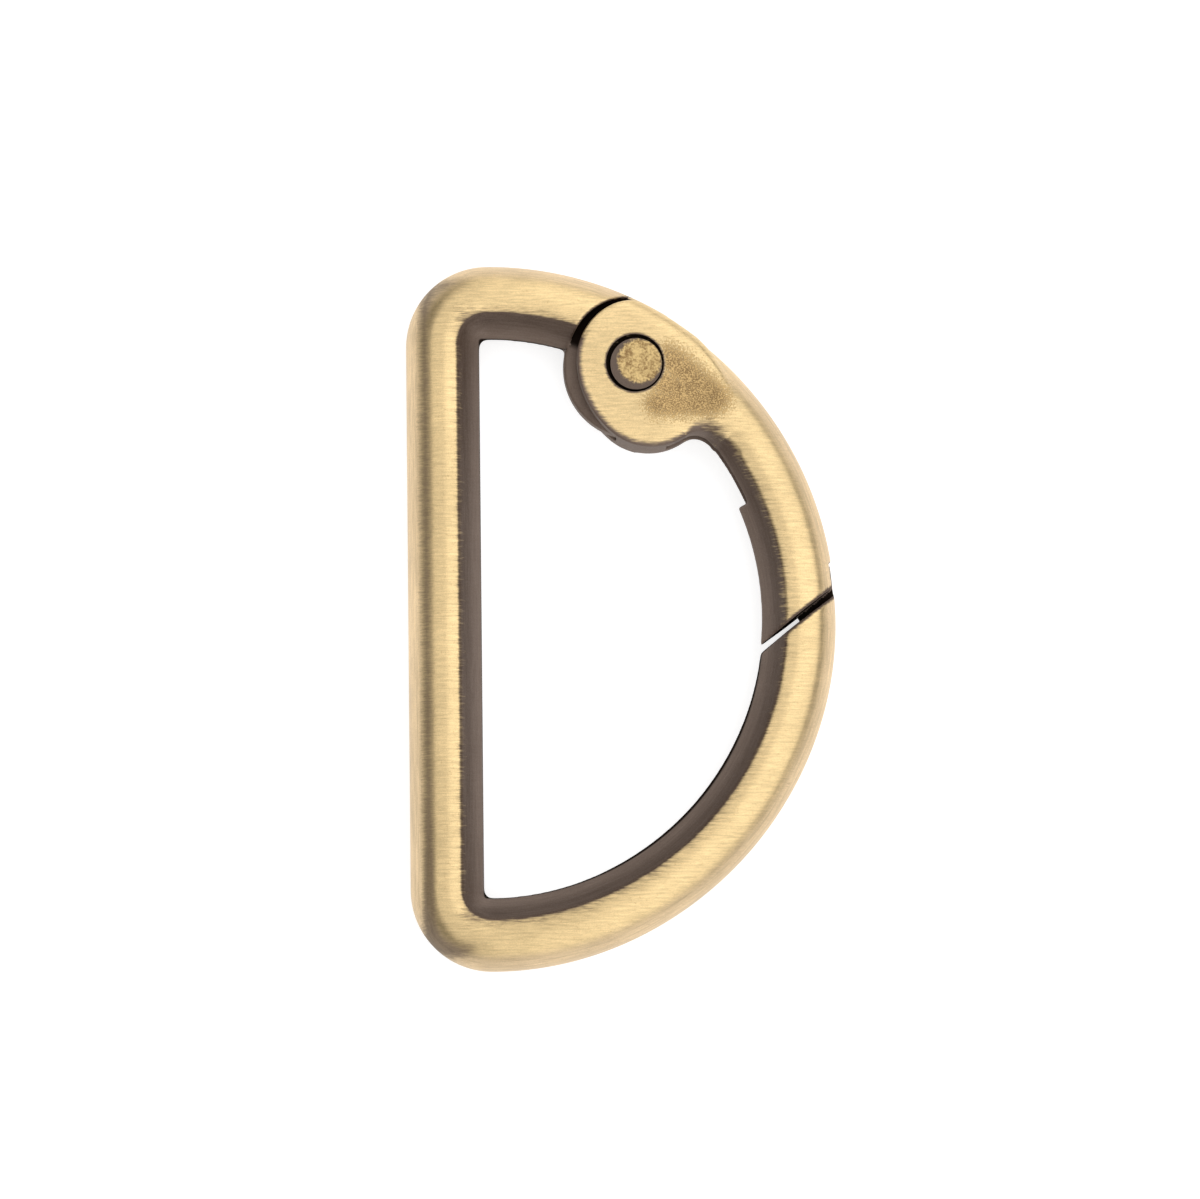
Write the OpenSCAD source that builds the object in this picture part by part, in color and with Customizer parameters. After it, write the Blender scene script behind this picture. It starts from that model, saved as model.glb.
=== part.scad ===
// Gate D ring: a cast D with a straight bar for a strap, whose bow opens inwards
// at a hinged gate. It lies flat, the bar along Y and the bow towards +X.

/* [Ring] */
// Inside length of the straight bar, the strap width that it takes
inner_len = 25.4; // [20:0.1:40]
// Width of the casting seen from the front
ring_w = 3.35; // [3:0.05:4]
// Thickness of the casting from front to back
ring_t = 3.3; // [3:0.05:4]
// Radius of the two inside corners at the ends of the bar
corner_r = 0.35; // [0.2:0.05:0.8]
// How far the sloping inner wall runs in under each face
wall_run = 0.7; // [0.4:0.05:0.9]
// Bevel between the inner wall and each face
bevel = 0.25; // [0.1:0.05:0.35]
// Height of the parting land halfway up the inner wall
land = 0.2; // [0.1:0.05:0.4]

/* [Hinge] */
// Place of the pin around the bow, from the middle of the bow towards +Y
hinge_deg = 58.2; // [50:0.2:62]
// Distance of the pin's axis from the outer outline
pin_inset = 2.65; // [2.6:0.05:3]
// Diameter of the rivet pin
pin_d = 2.34; // [1.8:0.02:2.5]
// Chamfer at both ends of the pin
pin_chamfer = 0.2; // [0.1:0.05:0.4]
// How far the pin's ends lie below the faces
pin_recess = 0.1; // [0:0.05:0.3]
// Radius of the gate's eye around the pin
eye_r = 2.65; // [2.4:0.05:2.75]
// Radius of the lobe below the eye
lobe_r = 2.65; // [2.2:0.05:2.8]
// Distance from the pin's axis to the lobe's centre
lobe_reach = 1.55; // [1.2:0.05:1.8]
// Direction from the pin's axis to the lobe's centre
lobe_deg = -64; // [-70:1:-55]
// Rounding of the eye and the lobe towards the faces
eye_round = 0.4; // [0.2:0.05:0.5]
// Radius of the hollow between the lobe and the arm
neck_r = 0.55; // [0.3:0.05:0.8]
// Radius of the tongue between the ears
tongue_r = 3.25; // [3.2:0.05:3.4]
// Thickness of the tongue
tongue_t = 1.1; // [0.9:0.05:1.3]

/* [Gate] */
// How much narrower the gate's arm is than the frame, taken off its inner side
gate_inset = 0.15; // [0:0.05:0.3]
// Place of the slanted cut around the bow, where it crosses the casting's middle
cut_deg = -0.7; // [-6:0.1:6]
// Slant of the cut from the bow's radius
cut_slant = 38; // [30:1:42]
// Width of the gap at the cut
cut_gap = 0.4; // [0.3:0.05:0.6]
// Width of the stop lug along the cut
lug_w = 2.1; // [1.6:0.05:2.2]
// Thickness of the stop lug
lug_t = 1.0; // [0.8:0.05:1.2]
// How far the stop lug reaches into the gate
lug_reach = 0.9; // [0.6:0.05:1.1]
// Direction, seen from the middle of the bow, where the gate's slot ends
slot_end_deg = 23; // [20:1:32]
// Metal left outside the gate's slot
slot_wall = 1.3; // [1.1:0.05:1.5]

/* [Spring] */
// Diameter of the spring's wire
wire_d = 0.3; // [0.25:0.01:0.32]
// Turns of the coil between its two legs
coil_turns = 1.08; // [1.05:0.01:1.12]
// Direction in which the spring's long leg leaves the coil
leg_deg = -46; // [-50:1:-46]
// Length of the long leg, which bears on the gate
leg_len = 5; // [4:0.1:5.2]
// Length of the short leg, which is held in the tongue
hold_len = 1.6; // [1.2:0.1:1.8]
// Depth of the spring's pocket in the front of the tongue
pocket_depth = 0.7; // [0.7:0.02:0.8]
// Angle that the gate opens through
open_deg = 50; // [30:1:52]

/* [Clearances] */
// Radial clearance between the pin and the bores of the ears
pin_clear = 0.05; // [0.03:0.01:0.1]
// Radial clearance at the bores' mouths, where the dark ring shows
mouth_clear = 0.14; // [0.11:0.01:0.18]
// Depth of the widened mouths
mouth_depth = 0.35; // [0.2:0.05:0.5]
// Clearance between each face of the tongue and its ear
ear_clear = 0.06; // [0.04:0.01:0.1]
// Clearance between the tongue's rim and the end of the slot
rim_clear = 0.12; // [0.08:0.01:0.2]
// Width of the groove between the eye and the frame
groove = 0.5; // [0.3:0.05:0.5]
// Clearance around the stop lug
lug_clear = 0.1; // [0.08:0.01:0.15]
// Clearance between the spring's coil and both the pin and its pocket
spring_clear = 0.08; // [0.05:0.01:0.1]
// Clearance between the spring's turns and around its short leg
turn_clear = 0.02; // [0.01:0.01:0.03]

/* [Hidden] */
$fn = 96;
eps = 0.01;
half_t = ring_t / 2;
out_r = inner_len / 2 + ring_w;
gate_r = inner_len / 2 + gate_inset;
gate_w = out_r - gate_r;
// Each corner turns a quarter, and the bow's arcs set out from the corners without a kink,
// about centres that lie corner_r from both middle lines
corner_y = inner_len / 2 - corner_r;
bow_r = corner_y;
// Everything is shifted so that the ring's outline is centred on the origin
middle_x = (out_r - ring_w) / 2;
// The frame's and the gate's arcs run on past the slanted cut by this angle and are trimmed there
past_cut = 20;
// Spare angle beside the long leg of the spring, at both ends of its swing
leg_spare = 5;

// A point at a radius and an angle
function polar(r, deg) = [r * cos(deg), r * sin(deg)];
// Where two circles cross, on the left of the line from the first to the second
function cross_at(a, ra, b, rb) =
    let (d = norm(b - a), u = (b - a) / d)
    let (s = (d * d + ra * ra - rb * rb) / (2 * d), h = sqrt(ra * ra - s * s))
    a + s * u + h * [-u[1], u[0]];

pin_at = polar(out_r - pin_inset, hinge_deg);
lobe_at = pin_at + polar(lobe_reach, lobe_deg);
neck_at = cross_at(lobe_at, lobe_r + neck_r, [0, 0], gate_r - neck_r);
cut_at = polar(out_r - ring_w / 2, cut_deg);
// The coil starts where the long leg leaves it, and winds up towards the front
coil_r = pin_d / 2 + spring_clear + wire_d / 2;
coil_from = leg_deg + 90;
coil_to = coil_from + 360 * coil_turns;
pocket_r = coil_r + wire_d / 2 + spring_clear;
coil_low = tongue_t / 2 - pocket_depth + turn_clear + wire_d / 2;
coil_rise = coil_turns * (wire_d + turn_clear);

// Section of the casting, its inner edge at x = 0: a full round outside, flat faces,
// and an inner wall that slopes both ways from the parting land
module section(w) {
    round_x = w - half_t;
    union() {
        translate([round_x, 0]) circle(half_t);
        polygon([
            [0, -land / 2], [wall_run, -half_t + bevel], [wall_run + bevel, -half_t],
            [round_x, -half_t], [round_x, half_t],
            [wall_run + bevel, half_t], [wall_run, half_t - bevel], [0, land / 2]
        ]);
    }
}

// The section swept about a centre, from one direction to the other
module arc_of(r, w, from_deg, to_deg) {
    rotate([0, 0, from_deg])
        rotate_extrude(angle = to_deg - from_deg)
            translate([r, 0]) section(w);
}

// Block that trims what lies beyond the gap: the gate's side is 1 and the nose's side is -1.
// It is wide enough to take off all of the arc that runs past the cut.
module cut_side(side) {
    big = 5 * ring_w;
    translate([cut_at[0], cut_at[1], 0])
        rotate([0, 0, cut_slant])
            translate([-big / 2, side > 0 ? -cut_gap / 2 : cut_gap / 2 - big, -ring_t])
                cube([big, big, 2 * ring_t]);
}

// Flat block across the cut, from inside the nose to the lug's tip, grown by a clearance.
// It runs out past the ring's outline.
module lug_block(grow) {
    lug_in = ring_w / 2 / cos(cut_slant) - lug_w;
    root = ring_w / 2;
    translate([cut_at[0], cut_at[1], 0])
        rotate([0, 0, cut_slant])
            translate([lug_in - grow, -root, -lug_t / 2 - grow])
                cube([lug_w + ring_w + grow, root + cut_gap / 2 + lug_reach + grow, lug_t + 2 * grow]);
}

// Upright disc, centred on the middle plane
module disc(at, r, t) {
    translate([at[0], at[1], -t / 2]) cylinder(r = r, h = t);
}

// Round boss with softened rims, in fewer facets because two of them are joined by a hull
module boss(at, r) {
    hull_facets = 48;
    translate([at[0], at[1], 0]) {
        cylinder(r = r, h = ring_t - 2 * eye_round, center = true, $fn = hull_facets);
        cylinder(r = r - eye_round, h = ring_t, center = true, $fn = hull_facets);
    }
}

module frame_casting() {
    // Straight bar
    translate([0, corner_y, 0])
        rotate([90, 0, 0])
            linear_extrude(2 * corner_y)
                mirror([1, 0]) section(ring_w);
    // Corners at the ends of the bar
    for (side = [1, -1])
        mirror([0, side > 0 ? 0 : 1, 0])
            translate([corner_r, corner_y, 0])
                arc_of(corner_r, ring_w, 90, 180);
    // Short stub of the bow that carries the hinge
    translate([corner_r, corner_r, 0])
        arc_of(bow_r, ring_w, 90, hinge_deg);
    // Long side of the bow, cut slantwise at the nose
    difference() {
        translate([corner_r, -corner_r, 0])
            arc_of(bow_r, ring_w, -90, cut_deg + past_cut);
        cut_side(1);
    }
}

module frame() {
    color("goldenrod")
        translate([-middle_x, 0, half_t])
            difference() {
                union() {
                    difference() {
                        frame_casting();
                        // Room for the two ears
                        for (side = [1, -1])
                            translate([pin_at[0], pin_at[1], side * (tongue_t / 2 + ring_t / 2)])
                                cylinder(r = eye_r + groove, h = ring_t, center = true);
                    }
                    // Tongue between the ears, its outer edge along the ring's outline
                    intersection() {
                        disc(pin_at, tongue_r, tongue_t);
                        disc([0, 0], out_r - eps, ring_t);
                    }
                    // Stop lug on the nose
                    intersection() {
                        lug_block(0);
                        disc([0, 0], out_r - lug_clear, ring_t);
                    }
                }
                disc(pin_at, pin_d / 2, ring_t);
                spring_room();
            }
}

// Pocket in the front of the tongue: round for the coil, narrow for the short leg,
// and wide where the long leg swings with the gate
module spring_room() {
    hold_w = wire_d + 2 * turn_clear;
    reach = 2 * tongue_r;
    translate([pin_at[0], pin_at[1], tongue_t / 2 - pocket_depth])
        linear_extrude(ring_t) {
            circle(pocket_r);
            rotate(coil_to)
                translate([coil_r - hold_w / 2, 0])
                    square([hold_w, hold_len + turn_clear]);
            polygon([
                [0, 0], polar(pocket_r, coil_from), polar(pocket_r, coil_from) + polar(reach, leg_deg),
                polar(reach, leg_deg - open_deg - leg_spare)
            ]);
        }
}

// Fills the hollow corner between the lobe and the arm with a rounded neck
module neck_fill() {
    lobe_side = lobe_at + (neck_at - lobe_at) * lobe_r / norm(neck_at - lobe_at);
    arm_side = neck_at * gate_r / norm(neck_at);
    // The fourth corner lies within the metal of the arm
    inside = polar(out_r - ring_w / 2, hinge_deg - 10);
    linear_extrude(ring_t - 2 * eye_round, center = true)
        difference() {
            polygon([lobe_at, lobe_side, neck_at, arm_side, inside]);
            translate(neck_at) circle(neck_r);
        }
}

// Room inside the gate for the tongue and the spring behind it
module gate_slot() {
    slot_t = tongue_t + 2 * ear_clear;
    disc(pin_at, tongue_r + rim_clear, slot_t);
    linear_extrude(slot_t, center = true)
        difference() {
            intersection() {
                circle(out_r - slot_wall);
                polygon([[0, 0], polar(2 * out_r, slot_end_deg), pin_at * 2, pin_at]);
            }
            // Leaves out the apex of the wedge, which lies in the ring's opening
            circle(inner_len / 4);
        }
}

module gate() {
    color("darkgoldenrod")
        translate([-middle_x, 0, half_t])
            difference() {
                union() {
                    // Eye and lobe of the two ears
                    hull() {
                        boss(pin_at, eye_r);
                        boss(lobe_at, lobe_r);
                    }
                    // Arm, cut slantwise at its tip
                    difference() {
                        arc_of(gate_r, gate_w, cut_deg - past_cut, hinge_deg);
                        cut_side(-1);
                    }
                    neck_fill();
                }
                gate_slot();
                // Slot that takes the stop lug, open towards the outside
                lug_block(lug_clear);
                // Bores of the ears
                disc(pin_at, pin_d / 2 + pin_clear, 2 * ring_t);
                for (side = [1, -1])
                    translate([pin_at[0], pin_at[1], side * half_t])
                        cylinder(r = pin_d / 2 + mouth_clear, h = 2 * mouth_depth, center = true);
            }
}

module pin() {
    long = ring_t - 2 * pin_recess;
    color("gold")
        translate([pin_at[0] - middle_x, pin_at[1], half_t])
            rotate_extrude()
                polygon([
                    [0, -long / 2], [pin_d / 2 - pin_chamfer, -long / 2],
                    [pin_d / 2, -long / 2 + pin_chamfer], [pin_d / 2, long / 2 - pin_chamfer],
                    [pin_d / 2 - pin_chamfer, long / 2], [0, long / 2]
                ]);
}

// Torsion spring: a long leg, a coil round the pin and a short leg
module spring() {
    // Straight pieces of the coil, and sides of the wire
    coil_steps = 26;
    sides = 8;
    first = concat(polar(coil_r, coil_from) + polar(leg_len, leg_deg), [coil_low, coil_from]);
    coil = [
        for (i = [0 : coil_steps])
            let (part = i / coil_steps, deg = coil_from + part * (coil_to - coil_from))
            concat(polar(coil_r, deg), [coil_low + part * coil_rise, deg])
    ];
    last = concat(polar(coil_r, coil_to) + polar(hold_len, coil_to + 90), [coil_low + coil_rise, coil_to]);
    // Each row of the route holds a place and the direction that points away from the pin there
    route = concat([first], coil, [last]);
    rows = len(route);
    points = [
        for (row = route, j = [0 : sides - 1])
            let (out = polar(wire_d / 2 * cos(j * 360 / sides), row[3]))
            [row[0] + out[0], row[1] + out[1], row[2] + wire_d / 2 * sin(j * 360 / sides)]
    ];
    skin = [
        for (i = [0 : rows - 2], j = [0 : sides - 1])
            let (a = i * sides + j, b = i * sides + (j + 1) % sides)
            each [[a, b, a + sides], [b, b + sides, a + sides]]
    ];
    near_end = [for (j = [sides - 1 : -1 : 0]) j];
    far_end = [for (j = [0 : sides - 1]) (rows - 1) * sides + j];
    color("silver")
        translate([pin_at[0] - middle_x, pin_at[1], half_t])
            polyhedron(points, concat(skin, [near_end, far_end]));
}

frame();
gate();
pin();
spring();
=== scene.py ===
# %% [markdown]
# Gate D ring in brushed antique brass
# This lesson dresses a small cast D ring, of the kind that joins a strap to a bag. Part of its
# bow is a gate that swings inwards on a rivet. Each step says what the piece or finish is on
# the real object, how it could be made, and why this way was chosen.
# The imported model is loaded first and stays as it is. It tells where each piece lies, and the
# detailed pieces that are made here stand in its place.

# %% Load the frame
from math import atan2, cos, degrees, pi, radians, sin, sqrt, tan

import bpy
import numpy as np
from mathutils import Matrix, Vector


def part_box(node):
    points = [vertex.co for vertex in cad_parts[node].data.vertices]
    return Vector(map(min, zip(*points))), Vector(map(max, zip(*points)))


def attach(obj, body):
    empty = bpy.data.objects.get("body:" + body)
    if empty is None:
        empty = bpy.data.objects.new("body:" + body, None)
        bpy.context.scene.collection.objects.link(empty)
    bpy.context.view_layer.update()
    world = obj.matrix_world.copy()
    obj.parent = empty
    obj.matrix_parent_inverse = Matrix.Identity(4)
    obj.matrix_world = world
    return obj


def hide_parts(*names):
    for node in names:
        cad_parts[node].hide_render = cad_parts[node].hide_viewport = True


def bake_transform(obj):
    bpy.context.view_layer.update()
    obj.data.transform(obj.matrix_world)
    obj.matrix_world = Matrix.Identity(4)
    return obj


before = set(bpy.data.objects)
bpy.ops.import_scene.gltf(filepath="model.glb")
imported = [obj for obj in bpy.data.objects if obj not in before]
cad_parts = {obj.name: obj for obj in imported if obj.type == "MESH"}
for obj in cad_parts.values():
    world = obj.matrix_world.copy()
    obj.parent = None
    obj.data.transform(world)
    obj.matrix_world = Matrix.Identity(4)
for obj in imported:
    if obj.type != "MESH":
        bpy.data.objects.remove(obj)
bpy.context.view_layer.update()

# %% [markdown]
# Sizes
# The ring is only 32 mm long, and several of Blender's tools merge points that lie within a
# tenth of a millimetre when one unit is a metre. So each piece is modelled with one unit to
# the millimetre, and scaled to metres when it is finished. The sizes of the casting are
# measured on the loaded model, and those that it doesn't tell are named where they are needed.

# %% Measure the model in millimetres
MM = 0.001


def box_mm(node):
    """Lowest and highest corner of a CAD node, in millimetres."""
    return [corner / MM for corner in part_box(node)]


ring_low, ring_high = box_mm("frame")
pin_low, pin_high = box_mm("pin")

RING_W = 3.35
RING_T = ring_high.z - ring_low.z
MIDDLE_Z = ring_low.z + RING_T / 2
OUT_R = ring_high.y
PIN_AT = ((pin_low + pin_high) / 2).xy
PIN_R = (pin_high.x - pin_low.x) / 2
# The bow is drawn about the middle of the bar's inner edge, which lies at BAR_X
BAR_X = ring_low.x + RING_W
BOW_AT = Vector((BAR_X, 0))
print(f"ring {ring_high.x - ring_low.x:.2f} x {2 * OUT_R:.2f} x {RING_T:.2f} mm, pin {2 * PIN_R:.2f} mm")

# %% [markdown]
# The section of the casting
# Cut across, the ring is round outside and on its faces, and its inner wall slopes both ways
# from a parting line, as it left the mould. A circle gives the round, and two bisects take the
# slopes off it. Only the outline is kept, because it is swept next.

# %% Draw the section
WALL_RUN = 0.72
WALL_RISE = 1.33
PARTING = 0.16
SECTION_POINTS = 96


def section(name, inner_x, outer_x):
    """The outline of the casting's section, standing across the X axis."""
    inward = 1 if inner_x > outer_x else -1
    middle = ((inner_x + outer_x) / 2, 0, MIDDLE_Z)
    bpy.ops.object.select_all(action="DESELECT")
    bpy.ops.mesh.primitive_circle_add(
        vertices=SECTION_POINTS,
        radius=RING_T / 2,
        fill_type="NGON",
        location=middle,
        rotation=(pi / 2, 0, 0),
    )
    piece = bpy.context.object
    piece.name = name
    bpy.ops.object.transform_apply(location=True, rotation=True, scale=True)
    bpy.ops.object.mode_set(mode="EDIT")
    bpy.ops.transform.resize(value=(abs(inner_x - outer_x) / RING_T, 1, 1), center_override=middle)
    for side in (1, -1):
        bpy.ops.mesh.select_all(action="SELECT")
        bpy.ops.mesh.bisect(
            plane_co=(inner_x, 0, MIDDLE_Z + side * PARTING / 2),
            plane_no=(inward * WALL_RISE, 0, side * WALL_RUN),
            clear_outer=True,
        )
    bpy.ops.mesh.select_all(action="SELECT")
    bpy.ops.mesh.delete(type="ONLY_FACE")
    bpy.ops.object.mode_set(mode="OBJECT")
    return piece


ring = section("ring_casting", BAR_X, ring_low.x)
print("section:", len(ring.data.vertices), "points")

# %% [markdown]
# Sweeping the frame
# The frame is one bent casting: a straight bar, two tight corners and the two parts of the
# bow. It could be a curve with a bevel, but a swept mesh keeps the section exactly upright all
# the way round. So the outline is pulled along the bar and spun around each bend.
# Each operator acts on what is selected, as a mouse would. One helper leaves a single piece
# selected, and the other selects points by a test that says where they are.

# %% Sweep the bar, the corners and the bow
CORNER_R = 0.35
CORNER_Y = OUT_R - RING_W - CORNER_R
CORNER_STEPS = 28
HINGE_DEG = 58.2
STUB_STEPS = 60
PAST_CUT = 20
BOW_STEPS = 180
SAME = 0.001


def only(piece):
    """Leave edit mode, and make one object the only selected and active one."""
    if bpy.context.object and bpy.context.object.mode != "OBJECT":
        bpy.ops.object.mode_set(mode="OBJECT")
    bpy.ops.object.select_all(action="DESELECT")
    piece.select_set(True)
    bpy.context.view_layer.objects.active = piece
    return piece


def pick(piece, wanted):
    """Go to edit mode with just the points selected that pass the test."""
    only(piece)
    bpy.ops.object.mode_set(mode="EDIT")
    bpy.ops.mesh.select_mode(type="VERT")
    bpy.ops.mesh.select_all(action="DESELECT")
    bpy.ops.object.mode_set(mode="OBJECT")
    for point in piece.data.vertices:
        point.select = bool(wanted(point))
    bpy.ops.object.mode_set(mode="EDIT")


def swing(centre_x, centre_y, clockwise, steps):
    """Spin the selected outline about an upright axis, by an angle in degrees."""
    bpy.ops.mesh.spin(
        steps=steps, angle=radians(clockwise), center=(centre_x, centre_y, MIDDLE_Z), axis=(0, 0, 1)
    )


for side in (1, -1):
    pick(ring, lambda point: abs(point.co.y) < SAME)
    bpy.ops.mesh.extrude_region_move(TRANSFORM_OT_translate={"value": (0, side * CORNER_Y, 0)})
    swing(BAR_X + CORNER_R, side * CORNER_Y, side * 90, CORNER_STEPS)
    reach = 90 - HINGE_DEG if side > 0 else 90 + PAST_CUT
    swing(BAR_X + CORNER_R, side * CORNER_R, side * reach, STUB_STEPS if side > 0 else BOW_STEPS)
    bpy.ops.object.mode_set(mode="OBJECT")
print("swept frame:", len(ring.data.polygons), "faces")

# %% [markdown]
# The slanted cut
# The gate meets the long side of the bow at a slanted cut. Both pieces are swept past it and
# bisected there. A bisect cuts everything that is selected along an endless plane, so only the
# stretch near the cut is selected. Then both open ends are filled.

# %% Cut the nose and close the ends
CUT_DEG = -0.7
CUT_SLANT = 38
CUT_GAP = 0.28
NEAR_CUT = 7.5


def polar(radius, angle):
    """A place in plan, at a radius and an angle about the middle of the bar's inner edge."""
    return Vector((BAR_X + radius * cos(radians(angle)), radius * sin(radians(angle))))


CUT_AT = polar(OUT_R - RING_W / 2, CUT_DEG)
ALONG_CUT = Vector((cos(radians(CUT_SLANT)), sin(radians(CUT_SLANT))))
ACROSS_CUT = Vector((-ALONG_CUT.y, ALONG_CUT.x))


def trim_at_cut(piece, side):
    """Cut off what runs past the gap. The gate lies on side 1 and the nose on side -1."""
    pick(piece, lambda point: (point.co.xy - CUT_AT).length < NEAR_CUT)
    edge = CUT_AT + side * ACROSS_CUT * CUT_GAP / 2
    bpy.ops.mesh.bisect(
        plane_co=(*edge, MIDDLE_Z), plane_no=(*(-side * ACROSS_CUT), 0), clear_outer=True
    )
    bpy.ops.object.mode_set(mode="OBJECT")


def close_ends(piece):
    """Fill both open ends of a swept outline, and turn its faces outwards."""
    only(piece)
    bpy.ops.object.mode_set(mode="EDIT")
    bpy.ops.mesh.select_mode(type="EDGE")
    bpy.ops.mesh.select_all(action="DESELECT")
    bpy.ops.mesh.select_non_manifold()
    bpy.ops.mesh.fill_holes(sides=0)
    bpy.ops.mesh.select_all(action="SELECT")
    bpy.ops.mesh.remove_doubles(threshold=SAME)
    bpy.ops.mesh.normals_make_consistent(inside=False)
    bpy.ops.object.mode_set(mode="OBJECT")


trim_at_cut(ring, -1)
close_ends(ring)
print("closed frame:", len(ring.data.polygons), "faces")

# %% [markdown]
# Room for the gate's ears
# The gate's two ears lie over and under a thin tongue of the frame. The room for them is two
# discs that are cut away. The discs are cylinders, and a Boolean modifier that is applied at
# once cuts with them. Each cutter runs past the face, so that no thin skin is left.

# %% Cut the room for the ears
EYE_R = 2.65
GROOVE = 0.5
TONGUE_T = 1.1
PAST_FACE = 1
THROUGH = (-PAST_FACE, RING_T + PAST_FACE)


def finish_step(piece, kind, **settings):
    """Add a modifier with these settings, and apply it."""
    only(piece)
    step = piece.modifiers.new(kind.lower(), kind)
    for name, value in settings.items():
        setattr(step, name, value)
    bpy.ops.object.modifier_apply(modifier=step.name)


def combine(piece, tool, operation):
    """Join, cut or intersect a piece with a tool, which is used up."""
    finish_step(piece, "BOOLEAN", object=tool, operation=operation, solver="MANIFOLD")
    bpy.data.objects.remove(tool)


def disc(at, radius, low, high, sides=128):
    """An upright cylinder between two heights."""
    bpy.ops.object.select_all(action="DESELECT")
    bpy.ops.mesh.primitive_cylinder_add(
        vertices=sides, radius=radius, depth=high - low, location=(at[0], at[1], (low + high) / 2)
    )
    bpy.ops.object.transform_apply(location=True, rotation=True, scale=True)
    return bpy.context.object


tongue_low, tongue_top = MIDDLE_Z - TONGUE_T / 2, MIDDLE_Z + TONGUE_T / 2
for low, high in ((THROUGH[0], tongue_low), (tongue_top, THROUGH[1])):
    combine(ring, disc(PIN_AT, EYE_R + GROOVE, low, high), "DIFFERENCE")
print(f"room of {RING_T - tongue_top:.2f} mm above and below the tongue")

# %% [markdown]
# The tongue
# The tongue carries the rivet and is part of the frame's casting. It is a disc round the rivet
# that is kept within the ring's outline, by intersecting it with a large disc first.

# %% Add the tongue
TONGUE_R = 3.27
TONGUE_IN = 0.05
FINE_SIDES = 512

tongue = disc(PIN_AT, TONGUE_R, tongue_low, tongue_top)
combine(tongue, disc(BOW_AT, OUT_R - TONGUE_IN, 0, RING_T, sides=FINE_SIDES), "INTERSECT")
combine(ring, tongue, "UNION")
print("frame with tongue:", len(ring.data.polygons), "faces")

# %% [markdown]
# The stop lug
# A small lug on the frame's nose reaches into the gate's tip, and keeps the gate from swinging
# outwards. It is a block with slanted sides. A cylinder with four sides, whose upright edges
# are moved one by one to their corners, gives such a block with any number of corners.

# %% Add the stop lug
LUG_W = 2.1
LUG_T = 1.0
LUG_REACH = 0.9
LUG_CLEAR = 0.1


def shift(piece, wanted, way):
    """Move the points that pass the test."""
    pick(piece, wanted)
    bpy.ops.transform.translate(value=way)
    bpy.ops.object.mode_set(mode="OBJECT")


def prism(corners, low, high):
    """An upright block: a cylinder with a side for each corner, whose edges are moved there.

    The cylinder's points come in pairs, one below and one above, clockwise from the back, so
    the corners are given clockwise too."""
    centre = sum(corners, Vector((0, 0))) / len(corners)
    block = disc(centre, 1.0, low, high, sides=len(corners))
    for number, corner in enumerate(corners):
        spot = block.data.vertices[2 * number].co.xy
        shift(block, lambda point: point.index // 2 == number, (*(corner - spot), 0))
    return block


def lug_block(grow):
    """A block across the cut, from inside the nose to the lug's tip, grown by a clearance."""
    inner = RING_W / 2 / cos(radians(CUT_SLANT)) - LUG_W - grow
    outer = inner + LUG_W + RING_W
    root, tip = -RING_W / 2, CUT_GAP / 2 + LUG_REACH + grow
    places = ((inner, root), (inner, tip), (outer, tip), (outer, root))
    corners = [CUT_AT + ALONG_CUT * along + ACROSS_CUT * across for along, across in places]
    half = LUG_T / 2 + grow
    return prism(corners, MIDDLE_Z - half, MIDDLE_Z + half)


lug = lug_block(0)
combine(lug, disc(BOW_AT, OUT_R - LUG_CLEAR, 0, RING_T, sides=FINE_SIDES), "INTERSECT")
combine(ring, lug, "UNION")
print("frame with lug:", len(ring.data.polygons), "faces")

# %% [markdown]
# The gate's arm
# The gate is a second casting. Its arm has nearly the section of the bow, so it is swept in the
# same way, past the cut at one end and up to the hinge at the other.

# %% Sweep the arm
GATE_IN = 3.36
GATE_R = OUT_R - GATE_IN
TIP_STEPS = 30
ARM_STEPS = 100

gate = section("gate_casting", BAR_X + GATE_R, BAR_X + OUT_R)
pick(gate, lambda point: True)
swing(BAR_X, 0, PAST_CUT, TIP_STEPS)
pick(gate, lambda point: abs(point.co.y) < SAME)
swing(BAR_X, 0, -HINGE_DEG, ARM_STEPS)
bpy.ops.object.mode_set(mode="OBJECT")
trim_at_cut(gate, 1)
close_ends(gate)
print("swept arm:", len(gate.data.polygons), "faces")

# %% [markdown]
# The outline of the ears
# Round the rivet the gate swells into two ears. Seen from above they are a circle near the
# frame's groove, and a second one, the lobe, towards the middle of the D. Half of a disc is
# moved over to make both. The side that faces the bar bulges, so a wider disc is added there,
# cut to the wedge in which it touches both circles from outside.

# %% Draw the ears
EAR_R = 2.74
EAR_SHIFT = (0.05, 0.22)
LOBE_SHIFT = (0.66, -1.05)
BULGE_R = 4.5
WEDGE_REACH = 4

EAR_AT = PIN_AT + Vector(EAR_SHIFT)
LOBE_AT = PIN_AT + Vector(LOBE_SHIFT)
lobe_step = LOBE_AT - EAR_AT
ears = disc(EAR_AT, EAR_R, 0, RING_T)
shift(ears, lambda point: (point.co.xy - EAR_AT).dot(lobe_step) > -SAME, (*lobe_step, 0))

away_from_bar = Vector((-lobe_step.y, lobe_step.x)).normalized()
bulge_shift = sqrt((BULGE_R - EAR_R) ** 2 - lobe_step.length_squared / 4)
BULGE_AT = (EAR_AT + LOBE_AT) / 2 + away_from_bar * bulge_shift
wedge = [BULGE_AT, *(BULGE_AT + WEDGE_REACH * (end - BULGE_AT) for end in (LOBE_AT, EAR_AT))]
bulge = prism(wedge, 0, RING_T)
combine(bulge, disc(BULGE_AT, BULGE_R, *THROUGH, sides=FINE_SIDES), "INTERSECT")
combine(ears, bulge, "UNION")
bulge_depth = BULGE_R - bulge_shift - EAR_R
print(f"ears {2 * EAR_R:.2f} mm wide, {lobe_step.length + 2 * EAR_R:.2f} long, bulge {bulge_depth:.2f}")

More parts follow.
